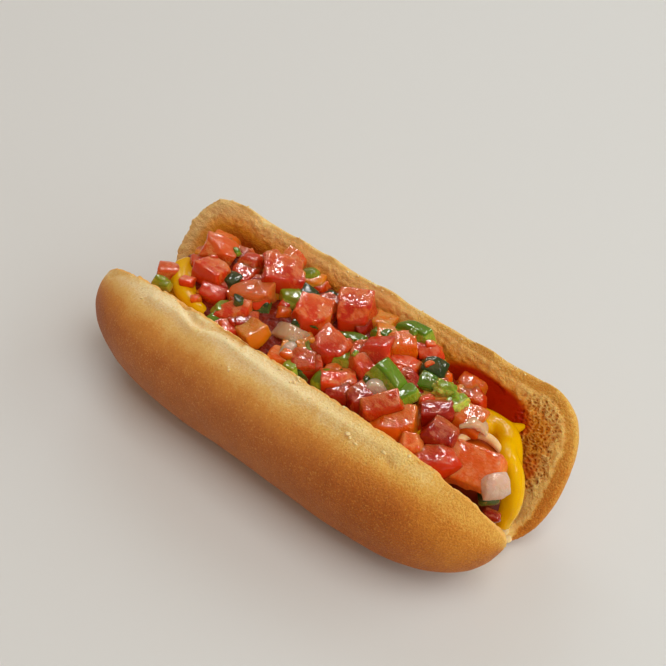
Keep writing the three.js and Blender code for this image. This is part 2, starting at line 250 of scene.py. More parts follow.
# All lights are squares of these sizes in metres, this far from the point that they light. The large soft
# ones have a turn from +X and a height in degrees, and a colour; the small bright cards a turn and a height.
LIGHT = {"soft": 0.9, "card": 0.15, "away": 1.4, "at": (0, 0, 10), "card_colour": (1, 0.98, 0.96)}
SOFT_LIGHTS = {"window": (0, 70, (0.97, 1, 1)), "side": (-4, 28, (0.75, 0.92, 1)),
               "back_right": (45, 30, (0.8, 0.95, 1)), "back_left": (135, 30, (0.7, 0.88, 1))}
GLARE_CARDS = [(131, 46), (112, 35), (152, 38), (108, 58), (156, 60), (131, 72), (70, 42), (20, 58)]
# The floor's side in metres, the width of the camera's sensor, and a height well above the food.
FLOOR_SIZE = 8
SENSOR = 36
ABOVE = 80


# ---- working on one piece, as by hand ----
def only(piece):
    """Selects this piece alone and makes it the active one."""
    bpy.ops.object.select_all(action="DESELECT")
    piece.select_set(True)
    bpy.context.view_layer.objects.active = piece


def modified(piece, kind, **settings):
    """Adds one modifier with these settings and applies it."""
    only(piece)
    modifier = piece.modifiers.new(kind, kind)
    for name, value in settings.items():
        setattr(modifier, name, value)
    bpy.ops.object.modifier_apply(modifier=modifier.name)


def remeshed(piece, grain, smoothing=0):
    """Gives the piece an even closed mesh with faces of this size in metres, smoothed this many times."""
    modified(piece, "REMESH", mode="VOXEL", voxel_size=grain)
    if smoothing:
        modified(piece, "SMOOTH", factor=0.5, iterations=smoothing)


def added(primitive, **settings):
    """Adds one primitive, with nothing else selected."""
    bpy.ops.object.select_all(action="DESELECT")
    primitive(**settings)
    return bpy.context.object


def linked(name, data):
    """A new object that holds this data, in the scene."""
    thing = bpy.data.objects.new(name, data)
    bpy.context.collection.objects.link(thing)
    return thing


def edited(piece, operator, **settings):
    """Runs one edit-mode operator on the whole piece."""
    only(piece)
    bpy.ops.object.mode_set(mode="EDIT")
    bpy.ops.mesh.select_all(action="SELECT")
    operator(**settings)
    bpy.ops.object.mode_set(mode="OBJECT")


def points(piece):
    """The piece's vertices, in millimetres, one row each."""
    flat = np.zeros(len(piece.data.vertices) * 3, np.float32)
    piece.data.vertices.foreach_get("co", flat)
    return flat.reshape(-1, 3).astype(float) / MM


def move_points(piece, places):
    """Puts the piece's vertices at these places, in millimetres."""
    piece.data.vertices.foreach_set("co", (places * MM).astype(np.float32).ravel())
    piece.data.update()


def settled(piece):
    """Puts the piece's place, turn and scale into its mesh."""
    only(piece)
    bpy.ops.object.transform_apply(location=True, rotation=True, scale=True)
    return piece


def joined(pieces, name):
    """Joins the pieces into one mesh of this name."""
    only(pieces[0])
    for piece in pieces:
        piece.select_set(True)
    bpy.ops.object.join()
    whole = bpy.context.view_layer.objects.active
    whole.name = name
    whole.data.name = name
    return whole


def masked(piece, name, weights):
    """A vertex group with these weights from 0 to 1."""
    group = piece.vertex_groups.new(name=name)
    for index in np.nonzero(weights > 0.004)[0]:
        group.add([int(index)], float(min(weights[index], 1)), "REPLACE")
    return name


def roughened(piece, size, height, name="", depth=2):
    """Moves the surface in and out by clouds of this size, where the named vertex group lets it."""
    texture = bpy.data.textures.new(f"{piece.name}_{size}", "CLOUDS")
    texture.noise_scale = size * MM
    texture.noise_depth = depth
    modified(piece, "DISPLACE", texture=texture, strength=height * MM, mid_level=0.5,
             texture_coords="LOCAL", vertex_group=name)


def lifted(piece, weights, height):
    """Moves the surface out by height times these weights, or in where height is negative."""
    name = masked(piece, "lifted", weights)
    modified(piece, "DISPLACE", strength=height * MM, mid_level=0, vertex_group=name)
    piece.vertex_groups.remove(piece.vertex_groups[name])


def painted(piece, name, values):
    """Stores one number, or one colour, for each vertex."""
    values = np.asarray(values, np.float32)
    if values.ndim == 1:
        layer = piece.data.attributes.new(name, "FLOAT", "POINT")
        layer.data.foreach_set("value", values)
    else:
        layer = piece.data.attributes.new(name, "FLOAT_COLOR", "POINT")
        rows = np.concatenate([values, np.ones((len(values), 1), np.float32)], axis=1)
        layer.data.foreach_set("color", rows.ravel())


def finished(piece, material, slot, *nodes):
    """Gives the piece its material and smooth shading and its body, and hides the nodes that it replaces. The
    slot is not used.
    """
    piece.data.materials.clear()
    piece.data.materials.append(material)
    piece.vertex_groups.clear()
    only(piece)
    bpy.ops.object.shade_smooth()
    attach(piece, BODY)
    if nodes:
        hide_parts(*nodes)


def smoothstep(low, high, values):
    """0 on the low side, 1 on the high side and smooth in between; low may be the larger one."""
    share = np.clip((values - low) / (high - low), 0, 1)
    return share * share * (3 - 2 * share)


def bell(away, width):
    """1 at no distance, falling smoothly to 0 past this width."""
    return np.exp(-(away / width) ** 2)


def waves(places, size, seed=0):
    """Smooth random numbers from about -1 to 1 for each place, with hills of this size."""
    shift = Vector((13.7 * seed, 5.1 * seed, 9.3 * seed))
    return np.array([noise.noise(Vector(place) / size + shift) for place in places])


def bubbles(places, size):
    """0 on the thin walls between bubbles of this size, 1 inside them."""
    inside = []
    for place in places:
        near = noise.voronoi(Vector(place) / size)[0]
        inside.append(near[1] - near[0])
    return smoothstep(0.08, 0.45, np.array(inside))


def seeded_random(seed):
    """Random numbers from 0 to 1 that come out the same each time."""
    state = seed
    while True:
        state = state * 16807 % 2147483647
        yield state / 2147483647


def either_way(draw):
    """A random number from -1 to 1."""
    return 2 * next(draw) - 1


def random_size(sizes, draw, power=1):
    """A random size from small to large. A power above 1 makes small ones more common."""
    return sizes["small"] + (sizes["large"] - sizes["small"]) * next(draw) ** power


def ground(names):
    """The faces of these pieces, to drop small things on."""
    corners, faces = [], []
    for name in names:
        mesh = bpy.data.objects[name].data
        start = len(corners)
        corners += [vertex.co.copy() for vertex in mesh.vertices]
        faces += [[start + index for index in face.vertices] for face in mesh.polygons]
    return BVHTree.FromPolygons(corners, faces)


def dropped(tree, x, y):
    """Where something that falls at x and y lands, in millimetres, or None where it would miss."""
    place = tree.ray_cast(Vector((x, y, ABOVE)) * MM, Vector((0, 0, -1)))[0]
    return place / MM if place else None


# ---- materials ----
class Finish:
    """A material with one Principled shader, and short calls that add and link its nodes."""

    def __init__(self, name):
        self.material = bpy.data.materials.new(name)
        self.material.use_nodes = True
        self.tree = self.material.node_tree
        self.shader = next(n for n in self.tree.nodes if n.type == "BSDF_PRINCIPLED")
        self.place = self.add("TexCoord").outputs["Object"]

    def put(self, socket, value):
        if isinstance(value, bpy.types.NodeSocket):
            self.tree.links.new(value, socket)
        else:
            socket.default_value = (*value, 1) if socket.type == "RGBA" else value

    def add(self, kind, inputs=None, **settings):
        node = self.tree.nodes.new("ShaderNode" + kind)
        for name, value in settings.items():
            setattr(node, name, value)
        for key, value in (inputs or {}).items():
            self.put(node.inputs[key], value)
        return node

    def surface(self, **sockets):
        for name, value in sockets.items():
            self.put(self.shader.inputs[name.replace("_", " ")], value)

    def soft(self, weight, *radius):
        """Light that enters the surface and spreads this many millimetres in red, green and blue."""
        self.surface(Subsurface_Weight=weight, Subsurface_Scale=1.0,
                     Subsurface_Radius=[r * MM for r in radius])

    def value(self, name):
        return self.add("Attribute", attribute_name=name).outputs["Fac"]

    def colour(self, name):
        return self.add("Attribute", attribute_name=name).outputs["Color"]

    def edges(self, low, high):
        """1 on sharp outward edges, 0 on faces."""
        return self.between(self.add("NewGeometry").outputs["Pointiness"], low, high)

    def stretched(self, along, across, upward):
        """Places scaled each way, so that a pattern on them is drawn out."""
        return self.add("Mapping", {"Vector": self.place, "Scale": (along, across, upward)}).outputs["Vector"]

    def noise(self, size, detail=2.0, rough=0.5, place=None):
        """Cloudy noise whose blobs are about this many millimetres wide."""
        inputs = {"Vector": place or self.place, "Scale": 1 / (size * MM), "Detail": detail,
                  "Roughness": rough}
        return self.add("TexNoise", inputs).outputs["Fac"]

    def math(self, operation, a, b):
        return self.add("Math", {0: a, 1: b}, operation=operation).outputs[0]

    def scaled(self, value, factor):
        return self.math("MULTIPLY", value, factor)

    def shifted(self, value, pattern, strength):
        """The value, moved up and down by a pattern about its middle."""
        centred = self.math("SUBTRACT", pattern, 0.5)
        return self.math("ADD", value, self.scaled(centred, strength))

    def between(self, value, low, high):
        """0 below low, 1 above high, and smooth in between."""
        inputs = {"Value": value, "From Min": low, "From Max": high}
        return self.add("MapRange", inputs, interpolation_type="SMOOTHSTEP").outputs["Result"]

    def mix(self, share, a, b):
        """Mixes two colours by a share."""
        return self.add("Mix", {0: share, 6: a, 7: b}, data_type="RGBA").outputs[2]

    def tinted(self, colour, tint):
        """The colour times the tint."""
        return self.add("Mix", {0: 1, 6: colour, 7: tint}, data_type="RGBA", blend_type="MULTIPLY").outputs[2]

    def either(self, share, a, b):
        """Mixes two reliefs by a share."""
        return self.add("Mix", {0: share, 4: a, 5: b}, data_type="VECTOR").outputs[1]

    def ramp(self, value, *stops):
        """A colour ramp through (position, colour) stops."""
        node = self.add("ValToRGB", {"Fac": value})
        elements = node.color_ramp.elements
        while len(elements) < len(stops):
            elements.new(1)
        for element, (position, colour) in zip(elements, stops):
            element.position = position
            element.color = (*colour, 1)
        return node.outputs["Color"]

    def bump(self, height, depth, below=None, strength=1.0):
        """Relief of this many millimetres on top of the relief below."""
        inputs = {"Height": height, "Distance": depth * MM, "Strength": strength}
        if below is not None:
            inputs["Normal"] = below
        return self.add("Bump", inputs).outputs["Normal"]


def bun_finish(look):
    """Satin crust from cream to brown, torn crumb, and crumb soaked with ketchup."""
    m = Finish("bun_crust_and_crumb")
    bake, crumb, soaked, pores = m.value("bake"), m.value("crumb"), m.value("soaked"), m.value("pores")
    along = m.add("SeparateXYZ", {"Vector": m.place}).outputs["X"]
    near = m.between(along, -10 * MM, 60 * MM)
    mottle, fine, leather = m.noise(8, 3), m.noise(0.9, 4, 0.65), m.noise(0.55, 2, 0.6)
    streak = m.noise(1.6, 4, 0.6, m.stretched(1, 0.3, 0.3))
    baked = m.shifted(m.shifted(m.shifted(bake, mottle, 0.24), fine, 0.2), streak, 0.14)
    baked = m.shifted(baked, leather, m.math("ADD", 0.25, m.scaled(near, 0.3)))
    crust = m.ramp(baked, (0.0, look.cream), (0.22, look.pale), (0.45, look.gold), (0.7, look.tan),
                   (1.0, look.brown))
    speck = m.between(m.noise(0.5, 1), 0.6, 0.68)
    crust = m.mix(m.scaled(speck, 0.35), crust, look.pale)
    crust = m.tinted(crust, m.mix(near, look.far_tint, look.near_tint))
    dot = m.between(m.noise(0.8, 1), 0.3, 0.24)
    crust = m.mix(m.scaled(dot, 0.25), crust, look.brown)
    # The crumb is painted lighter on the raised parts of its relief and darker in its low parts, and darker
    # still in the pores: painted light and shade.
    holes = m.noise(1.1, 4, 0.65)
    toast_and_painted_shade = m.shifted(bake, holes, m.math("ADD", -0.25, m.scaled(near, -0.5)))
    toast_and_painted_shade = m.math("ADD", m.shifted(toast_and_painted_shade, mottle, 0.15), m.scaled(pores, 0.12))
    inside = m.ramp(toast_and_painted_shade, (0.0, look.crumb_light), (0.3, look.crumb_gold), (0.6, look.crumb),
                    (1.0, look.crumb_deep))
    inside = m.tinted(inside, m.mix(m.scaled(near, 0.7), (1, 1, 1), look.near_tint))
    # Crests of the torn crumb are painted lighter, a painted highlight, and its hollows darker, painted
    # shade.
    painted_crest_light = m.scaled(m.edges(0.5, 0.6), m.math("ADD", 0.15, m.scaled(near, 0.45)))
    inside = m.mix(painted_crest_light, inside, look.crumb_light)
    inside = m.mix(m.scaled(m.edges(0.49, 0.42), 0.6), inside, look.crumb_deep)
    wet = m.between(m.shifted(soaked, m.noise(3, 4, 0.6), 0.5), 0.25, 0.7)
    thick = m.between(m.shifted(soaked, m.noise(5, 3), 0.4), 0.5, 0.9)
    ketchup = m.mix(thick, look.ketchup_light, look.ketchup)
    inside = m.mix(wet, inside, ketchup)
    edge = m.between(m.shifted(crumb, m.noise(1.5, 3), 0.5), 0.35, 0.65)
    grained = m.math("ADD", 0.35, m.scaled(near, 0.65))
    crust_relief = m.bump(leather, 0.8, m.bump(streak, 0.25, m.bump(dot, -0.12)), grained)
    crumbly = m.bump(holes, 1, m.bump(fine, 0.3))
    relief = m.either(edge, crust_relief, m.either(wet, crumbly, m.bump(m.noise(2.2, 3), 0.25)))
    rough = m.math("SUBTRACT", m.math("ADD", 0.5, m.scaled(edge, 0.35)), m.scaled(wet, 0.55))
    m.surface(Base_Color=m.mix(edge, crust, inside), Roughness=rough, Normal=relief, Specular_IOR_Level=0.14)
    m.soft(0.25, 4, 2, 0.8)
    return m.material


def diced_finish(kind, look):
    """Wet cut flesh that pales away from its smooth skin. Each die carries its own colours and skin side."""
    m = Finish(kind + "_flesh")
    flesh, skin, rind = m.colour("flesh"), m.colour("skin"), m.value("rind")
    grain, cloud = m.noise(0.6, 2, 0.6), m.noise(3.5, 3, 0.6)
    fibre = m.noise(1.8, 4, 0.6, m.stretched(1, 1.7, 0.6))
    pale = m.between(m.shifted(rind, cloud, 0.6), 0.6, 0.05)
    patchy = m.mix(m.scaled(m.between(cloud, 0.62, 0.4), KINDS[kind]["mixed"]), flesh, skin)
    juicy = m.mix(m.scaled(pale, look.veining), patchy, look.vein)
    fibred = m.mix(m.scaled(m.between(fibre, 0.52, 0.72), look.veining), juicy, look.vein)
    # Pale specks in the flesh are painted glints of the wet surface.
    glint_specked = m.mix(m.scaled(m.between(grain, 0.62, 0.72), look.painted_glint_specks), fibred, look.vein)
    smooth = m.mix(m.scaled(m.noise(4, 2), 0.25), skin, flesh)
    side = m.between(m.shifted(rind, grain, 0.12), 0.86, 0.9)
    # Sharp edges are painted paler, towards the flesh colour: a painted highlight for light through the thin
    # flesh.
    base = m.mix(m.scaled(m.edges(0.55, 0.64), 0.4), m.mix(side, glint_specked, smooth), flesh)
    # Level faces pale in patches: a painted reflection of the bright sky in the wet juice.
    level = m.add("SeparateXYZ", {"Vector": m.add("NewGeometry").outputs["Normal"]}).outputs["Z"]
    painted_top_sheen = m.between(m.shifted(m.shifted(level, cloud, 1.2), fibre, 0.8), 0.8, 1.15)
    base = m.mix(m.scaled(painted_top_sheen, KINDS[kind]["painted_top_sheen"]), base, m.mix(0.5, flesh, look.painted_top_sheen))
    cut = m.bump(fibre, 0.3, m.bump(grain, 0.2))
    relief = m.either(side, cut, m.bump(m.noise(2.5, 2), 0.12))
    m.surface(Base_Color=base, Roughness=look.gloss, Normal=relief,
              Specular_IOR_Level=0.05, IOR=1.38, Transmission_Weight=KINDS[kind]["clear"],
              Coat_Weight=look.wet * KINDS[kind]["wet"], Coat_Roughness=0.03, Coat_IOR=1.45,
              Coat_Normal=m.bump(m.noise(1.3, 1, 0.5), 0.08, m.bump(cloud, 0.2)))
    m.soft(look.softness, 3, 0.5, 0.2)
    return m.material


def salsa_bed_finish(look):
    """Dark wet pulp and juice under the dice, darker in the low parts of its lumps: partly painted shade in
    the gaps.
    """
    m = Finish("salsa_pulp")
    lumps, fine = m.noise(2.4, 4, 0.6), m.noise(0.8, 3)
    # Low parts of the lumps take the deep colour and raised parts the lighter one: painted shade.
    base = m.ramp(lumps, (0.3, look.deep_juice_and_shade), (0.7, look.juice))
    m.surface(Base_Color=base, Roughness=0.3, Normal=m.bump(lumps, 0.8, m.bump(fine, 0.2)),
              Specular_IOR_Level=0.15)
    m.soft(0.2, 2, 0.6, 0.3)
    return m.material


def frankfurter_finish(look):
    """Smooth browned skin with fine wrinkles along it."""
    m = Finish("frankfurter_skin")
    wrinkle = m.noise(1.2, 3, 0.5, m.stretched(0.25, 1, 1))
    base = m.ramp(m.noise(7, 3), (0.3, look.deep), (0.7, look.light))
    # The bare top is painted lighter and more orange: oily skin and partly a painted sheen.
    base = m.mix(m.value("oily"), base, look.oily)
    m.surface(Base_Color=base, Roughness=0.28, Normal=m.bump(wrinkle, 0.2), Specular_IOR_Level=0.3)
    m.soft(0.2, 2, 0.8, 0.4)
    return m.material


def sauce_finish(name, colour, shade, gloss, soft):
    """A smooth thick sauce with slight streaks."""
    m = Finish(name)
    m.surface(Base_Color=m.mix(m.noise(3, 3, 0.5), shade, colour), Roughness=gloss,
              Normal=m.bump(m.noise(1.6, 2), 0.12), Specular_IOR_Level=0.15)
    m.soft(soft, 2, 1.2, 0.3)
    return m.material


def crumb_finish(look):
    """Dry light crumbs."""
    m = Finish("loose_crumb")
    base = m.mix(m.noise(0.6, 3), look.pale, look.cream)
    m.surface(Base_Color=base, Roughness=0.8, Normal=m.bump(m.noise(0.4, 3), 0.1), Specular_IOR_Level=0.2)
    m.soft(0.3, 2, 1, 0.4)
    return m.material


# ---- what a user would change ----
def colour_setting(name, description, value):
    return FloatVectorProperty(name=name, description=description, default=value, subtype="COLOR", min=0,
                               max=1)


def size_setting(name, description, value):
    return FloatProperty(name=name, description=description, default=value * MM, unit="LENGTH", min=0)


def share_setting(name, description, value):
    return FloatProperty(name=name, description=description, default=value, subtype="FACTOR", min=0, max=1)


def power_setting(name, description, value):
    return FloatProperty(name=name, description=description, default=value, unit="POWER", min=0)


class HotDogBunLook(bpy.types.PropertyGroup):
    """Crust and crumb of the bun."""

    grain: size_setting("Grain", "Size of the mesh's faces before the torn parts are refined", 1.0)
    swell: size_setting("Swell", "How far the crust rises and sinks", 0.6)
    crag: size_setting("Crag", "How deep the torn crumb is", 1.2)
    cream: colour_setting("Cream crust", "Crust along the torn edge", tone(255, 229, 178))
    pale: colour_setting("Pale crust", "Crust on the shoulder", tone(240, 192, 112))
    gold: colour_setting("Golden crust", "Crust below the shoulder", tone(222, 148, 68))
    tan: colour_setting("Tan crust", "Crust on the sides", tone(196, 116, 56))
    brown: colour_setting("Brown crust", "Crust where it baked most", tone(160, 84, 38))
    far_tint: colour_setting("Far tint", "Tint of the crust at the far end", (0.97, 1, 1))
    near_tint: colour_setting("Near tint", "Tint of the crust at the near end", (1, 0.88, 0.52))
    crumb_light: colour_setting("Light crumb", "The torn ledge inside the rim", tone(255, 212, 140))
    crumb_gold: colour_setting("Golden crumb", "Crumb near the rim", tone(255, 184, 92))
    crumb: colour_setting("Crumb", "Crumb on the inner faces", tone(230, 152, 42))
    crumb_deep: colour_setting("Deep crumb", "Pores and shaded crumb", tone(172, 74, 0))
    ketchup: colour_setting("Ketchup", "Crumb soaked with ketchup", tone(172, 32, 0))
    ketchup_light: colour_setting("Thin ketchup", "Crumb that ketchup has just reached", tone(206, 90, 6))


class HotDogSausageLook(bpy.types.PropertyGroup):
    """Skin of the frankfurter."""

    light: colour_setting("Light skin", "Raised, browned skin", tone(150, 50, 24))
    deep: colour_setting("Deep skin", "Darker blotches", tone(96, 18, 12))
    # Partly a painted sheen on the bare top.
    oily: colour_setting("Oily skin", "Bare skin that shines between the sauces", tone(196, 88, 12))


class HotDogSauceLook(bpy.types.PropertyGroup):
    """Mustard and the cream-coloured sauce."""

    grain: size_setting("Grain", "Size of the mesh's faces", 0.6)
    mustard: colour_setting("Mustard", "Bright top of the mustard", tone(240, 186, 0))
    mustard_shade: colour_setting("Mustard shade", "Streaks in the mustard", tone(228, 164, 0))
    cream: colour_setting("Cream", "Cream-coloured sauce", tone(244, 214, 164))
    cream_shade: colour_setting("Cream shade", "Streaks in the cream", tone(236, 180, 104))


class HotDogSalsaLook(bpy.types.PropertyGroup):
    """The diced salsa."""

    grain: size_setting("Grain", "Size of the faces of the largest dice", 0.45)
    fine: size_setting("Fine grain", "Size of the faces of the smallest bits", 0.35)
    edge: size_setting("Edge", "Rounding of the dice's edges", 0.3)
    gloss: share_setting("Roughness", "Roughness of the flesh under its juice", 0.45)
    wet: share_setting("Juice", "How much juice coats the dice", 1.0)
    softness: share_setting("Softness", "How much light passes through the flesh", 0.5)
    veining: share_setting("Veining", "Strength of the pale fibres", 0.3)
    # The pale specks are painted glints.
    painted_glint_specks: share_setting("Sparkle", "Strength of the pale specks", 0.25)
    vein: colour_setting("Veins", "Pale fibres in the flesh", tone(252, 150, 70))
    # A painted reflection: the pale colour that wet level faces take from the bright sky.
    painted_top_sheen: colour_setting("Juice film", "Pale juice on level faces", tone(250, 184, 146))
    juice: colour_setting("Juice colour", "Pulp between the dice", tone(150, 40, 8))
    # Partly painted shade in the gaps between the dice.
    deep_juice_and_shade: colour_setting("Deep juice", "Pulp in the gaps", tone(96, 18, 4))


class HotDogStageLook(bpy.types.PropertyGroup):
    """Floor, lights and camera."""

    floor: colour_setting("Floor", "Pale floor", tone(223, 223, 220))
    window: power_setting("Window", "Power of the large soft light high on the right", 7.2)
    side: power_setting("Side", "Power of the soft light low on the right", 5.4)
    back_right: power_setting("Back right", "Power of the soft light behind on the right", 5)
    back_left: power_setting("Back left", "Power of the soft light behind on the left", 5)
    glare: power_setting("Glare", "Power of the cards that wet tops and edges mirror", 2.6)
    ambient: colour_setting("Ambient", "Light of the room", (0.34, 0.24, 0.17))
    azimuth: FloatProperty(name="Azimuth", description="Camera's turn round the food",
                           default=math.radians(40.9), subtype="ANGLE")
    elevation: FloatProperty(name="Elevation", description="Camera's height above the table",
                             default=math.radians(46), subtype="ANGLE")
    distance: size_setting("Distance", "Camera's distance from its target", 379.3)
    target: FloatVectorProperty(name="Target", description="Point that the camera looks at",
                                default=(-9.5 * MM, 19.78 * MM, 20 * MM), subtype="XYZ", unit="LENGTH")
    lens: FloatProperty(name="Lens", description="Focal length", default=67.57, unit="CAMERA", min=1)


class HotDogSettings(bpy.types.PropertyGroup):
    """All settings of the hot dog."""

    bun: PointerProperty(type=HotDogBunLook)
    sausage: PointerProperty(type=HotDogSausageLook)
    sauce: PointerProperty(type=HotDogSauceLook)
    salsa: PointerProperty(type=HotDogSalsaLook)
    stage: PointerProperty(type=HotDogStageLook)


# ---- bun ----
def inside_of(face, places):
    """How far each place lies in the bread behind a half's inner face, in millimetres."""
    lean = math.radians(face["lean"])
    foot = face["y"] + face["side"] * math.tan(lean) * places[:, 2]
    return face["side"] * (places[:, 1] - foot) * math.cos(lean)


def distance_to_line(places, line):
    """The distance from each place to a line through these points."""
    nearest = np.full(len(places), 1e9)
    for start, end in zip(line, line[1:]):
        a, b = np.array(start, float), np.array(end, float)
        share = np.clip((places - a) @ (b - a) / ((b - a) @ (b - a)), 0, 1)
        nearest = np.minimum(nearest, np.linalg.norm(places - (a + share[:, None] * (b - a)), axis=1))
    return nearest


def patch(places, patches):
    """The strength of each patch in its middle, on the flat half's inner face, falling to 0 at its edge."""
    share = np.zeros(len(places))
    for x, z, half_long, half_high, strength in patches:
        out = np.hypot((places[:, 0] - x) / half_long, (places[:, 2] - z) / half_high)
        share = np.maximum(share, strength * smoothstep(1.35, 0.75, out))
    return share * (np.abs(inside_of(FLAT_FACE, places)) < 4)


def inner_face(places):
    """1 on the inner faces of both halves, 0 outside."""
    domed, flat = inside_of(DOMED_FACE, places), inside_of(FLAT_FACE, places)
    before_ends = smoothstep(76, 73.5, np.abs(places[:, 0]))
    return smoothstep(1.4, 0.5, domed) * smoothstep(1.6, 0.8, flat) * before_ends


def rim_distance(places, inner):
    """How far each place on the inner faces lies from the outside, in millimetres, and 0 on the outside."""
    outside = np.nonzero(inner < 0.3)[0]
    tree = KDTree(len(outside))
    for index in outside:
        tree.insert(places[index], int(index))
    tree.balance()
    away = np.zeros(len(places))
    for index in np.nonzero(inner >= 0.3)[0]:
        away[index] = tree.find(places[index])[2]
    return away


def on_flat_half(places):
    """Whether each place lies on or near the flat half's inner face."""
    return (inside_of(FLAT_FACE, places) < 3) & (places[:, 1] > 0)


def torn_depth(places, rim):
    """How far each place lies past the crust that rolls over the flat half's rim, in millimetres."""
    x = places[:, 0]
    roll = np.interp(x, ROLL["along"], ROLL["over"])
    ragged = 0.5 * waves(places, 6, 2) + 0.4 * waves(places, 2, 4)
    return rim - (roll + ragged) * on_flat_half(places)


def bake_share(places, crumb, depth):
    """How brown the bread is: 0 pale to 1 brown."""
    x, y, z = places.T
    turn = np.degrees(np.arctan2(-(y - BAKE["y"]), z - BAKE["z"]))
    middle, end, tip = (np.interp(turn, BAKE["turn"], BAKE[part]) for part in ("middle", "end", "tip"))
    near, last = smoothstep(*BAKE["end_x"], x), smoothstep(*BAKE["tip_x"], x)
    domed = (middle * (1 - near) + end * near) * (1 - last) + tip * last
    domed = domed + 0.14 * smoothstep(-50, -66, x)
    flat = 0.22 + 0.28 * smoothstep(38, 10, z)
    crust = np.where(inside_of(DOMED_FACE, places) > 0, domed, flat)
    wall = np.interp(depth, BAKE["in"], BAKE["wall"])
    # The wall is paler towards both ends; at the far end this is painted light shining through the thin flap.
    wall = wall - 0.3 * smoothstep(-50, -60, x) - 0.35 * smoothstep(50, 60, x)
    # The domed half's torn crumb is browner out towards the split, partly painted shade under the salsa.
    domed_wall = np.interp(inside_of(DOMED_FACE, places), [-1, 1.5], [0.4, 0.1])
    wall = np.where(on_flat_half(places), wall, domed_wall)
    return np.where(crumb > 0.5, np.clip(wall, 0, 1.1), crust)


def finer(loaf, chosen):
    """Splits the faces that this rule picks by their middles in four."""
    only(loaf)
    centres = np.zeros(len(loaf.data.polygons) * 3, np.float32)
    loaf.data.polygons.foreach_get("center", centres)
    picked = chosen(centres.reshape(-1, 3).astype(float) / MM)
    bpy.ops.object.mode_set(mode="EDIT")
    bpy.ops.mesh.select_mode(type="FACE")
    bpy.ops.mesh.select_all(action="DESELECT")
    bpy.ops.object.mode_set(mode="OBJECT")
    loaf.data.polygons.foreach_set("select", picked)
    bpy.ops.object.mode_set(mode="EDIT")
    bpy.ops.mesh.subdivide(number_cuts=1)
    bpy.ops.object.mode_set(mode="OBJECT")


def torn_parts(places):
    """The flat half's inner face, and the domed half's edge with its shoulder."""
    flat, domed = inside_of(FLAT_FACE, places), inside_of(DOMED_FACE, places)
    return (np.abs(flat) < 2) & (places[:, 2] > 16) | (domed > -1.6) & (domed < 6) & (places[:, 2] > 30)


def bread(look):
    """The bun's CAD solid as one soft, finely meshed loaf with torn inner faces."""
    loaf = linked("bread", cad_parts["bun"].data.copy())
    edited(loaf, bpy.ops.mesh.remove_doubles, threshold=0.001 * MM)
    remeshed(loaf, look.grain)
    crust = masked(loaf, "crust", 1 - 0.85 * inner_face(points(loaf)))
    modified(loaf, "SMOOTH", factor=0.5, iterations=20, vertex_group=crust)
    finer(loaf, torn_parts)
    modified(loaf, "SMOOTH", factor=0.5, iterations=3)
    roughened(loaf, size=16, height=look.swell / MM)
    return loaf


def tear_crust(loaf):
    """The domed half's torn edge: notches, fine wrinkles, the folds and the soft ridge beside them."""
    places = points(loaf)
    depth = inside_of(DOMED_FACE, places)
    high = smoothstep(24, 34, places[:, 2])
    lifted(loaf, bell(distance_to_line(places, RIDGE["line"]), RIDGE["width"]), RIDGE["rise"])
    wrinkles = 0.5 + 0.5 * waves(places * [1, 0.5, 0.5], 1.6, 3) + 0.3 * waves(places, 0.8, 4)
    lifted(loaf, high * smoothstep(5, 1, depth) * (depth > -1) * wrinkles, EDGE["wrinkle"])
    notches = smoothstep(0, 0.5, waves(places * [1, 0.5, 0.5], 2.6, 5))
    lifted(loaf, high * bell(depth, 1.2) * notches, -EDGE["notch"])
    from_tip = np.linalg.norm(places - np.array(TIP["at"]), axis=1)
    lifted(loaf, bell(from_tip, TIP["reach"]) * (depth > -1), TIP["rise"])
    for fold in FOLDS:
        lifted(loaf, bell(distance_to_line(points(loaf), fold["line"]), fold["width"]), -fold["depth"])


def tear_crumb(loaf, look, crumb, depth):
    """The flat half's torn ledge below its rim, and a soft inner face; the ledge is flaky at the near end."""
    places = points(loaf)
    width = ROLL["ledge"] + 2.2 * waves(places, 5, 7) + 1.6 * waves(places, 1.8, 8)
    ledge = smoothstep(-0.2, 0.8, depth) * smoothstep(0.8, -0.3, depth - width) * on_flat_half(places)
    near_end = smoothstep(30, 55, places[:, 0])
    lifted(loaf, ledge * (0.5 + 0.5 * waves(places, 1.6, 9)), 0.8)
    roughened(loaf, 2.2, look.crag / MM, masked(loaf, "flaky", ledge * (0.35 + 0.65 * near_end)), depth=3)
    soft = masked(loaf, "soft", crumb * smoothstep(HINGE_TOP - 2, HINGE_TOP + 6, places[:, 2]))
    roughened(loaf, 6, look.crag / MM / 3, soft)


def open_pores(loaf, look):
    """Bubbles in the crumb at the near end. Returns how deep in a bubble each vertex lies."""
    finer(loaf, lambda places: patch(places, OPEN_CRUMB) > 0.1)
    places = points(loaf)
    both = 0.5 * bubbles(places, PORES["small"]) + 0.5 * bubbles(places, PORES["large"])
    pores = patch(places, OPEN_CRUMB) * both
    lifted(loaf, pores, -PORES["depth"] * look.crag / MM)
    return pores


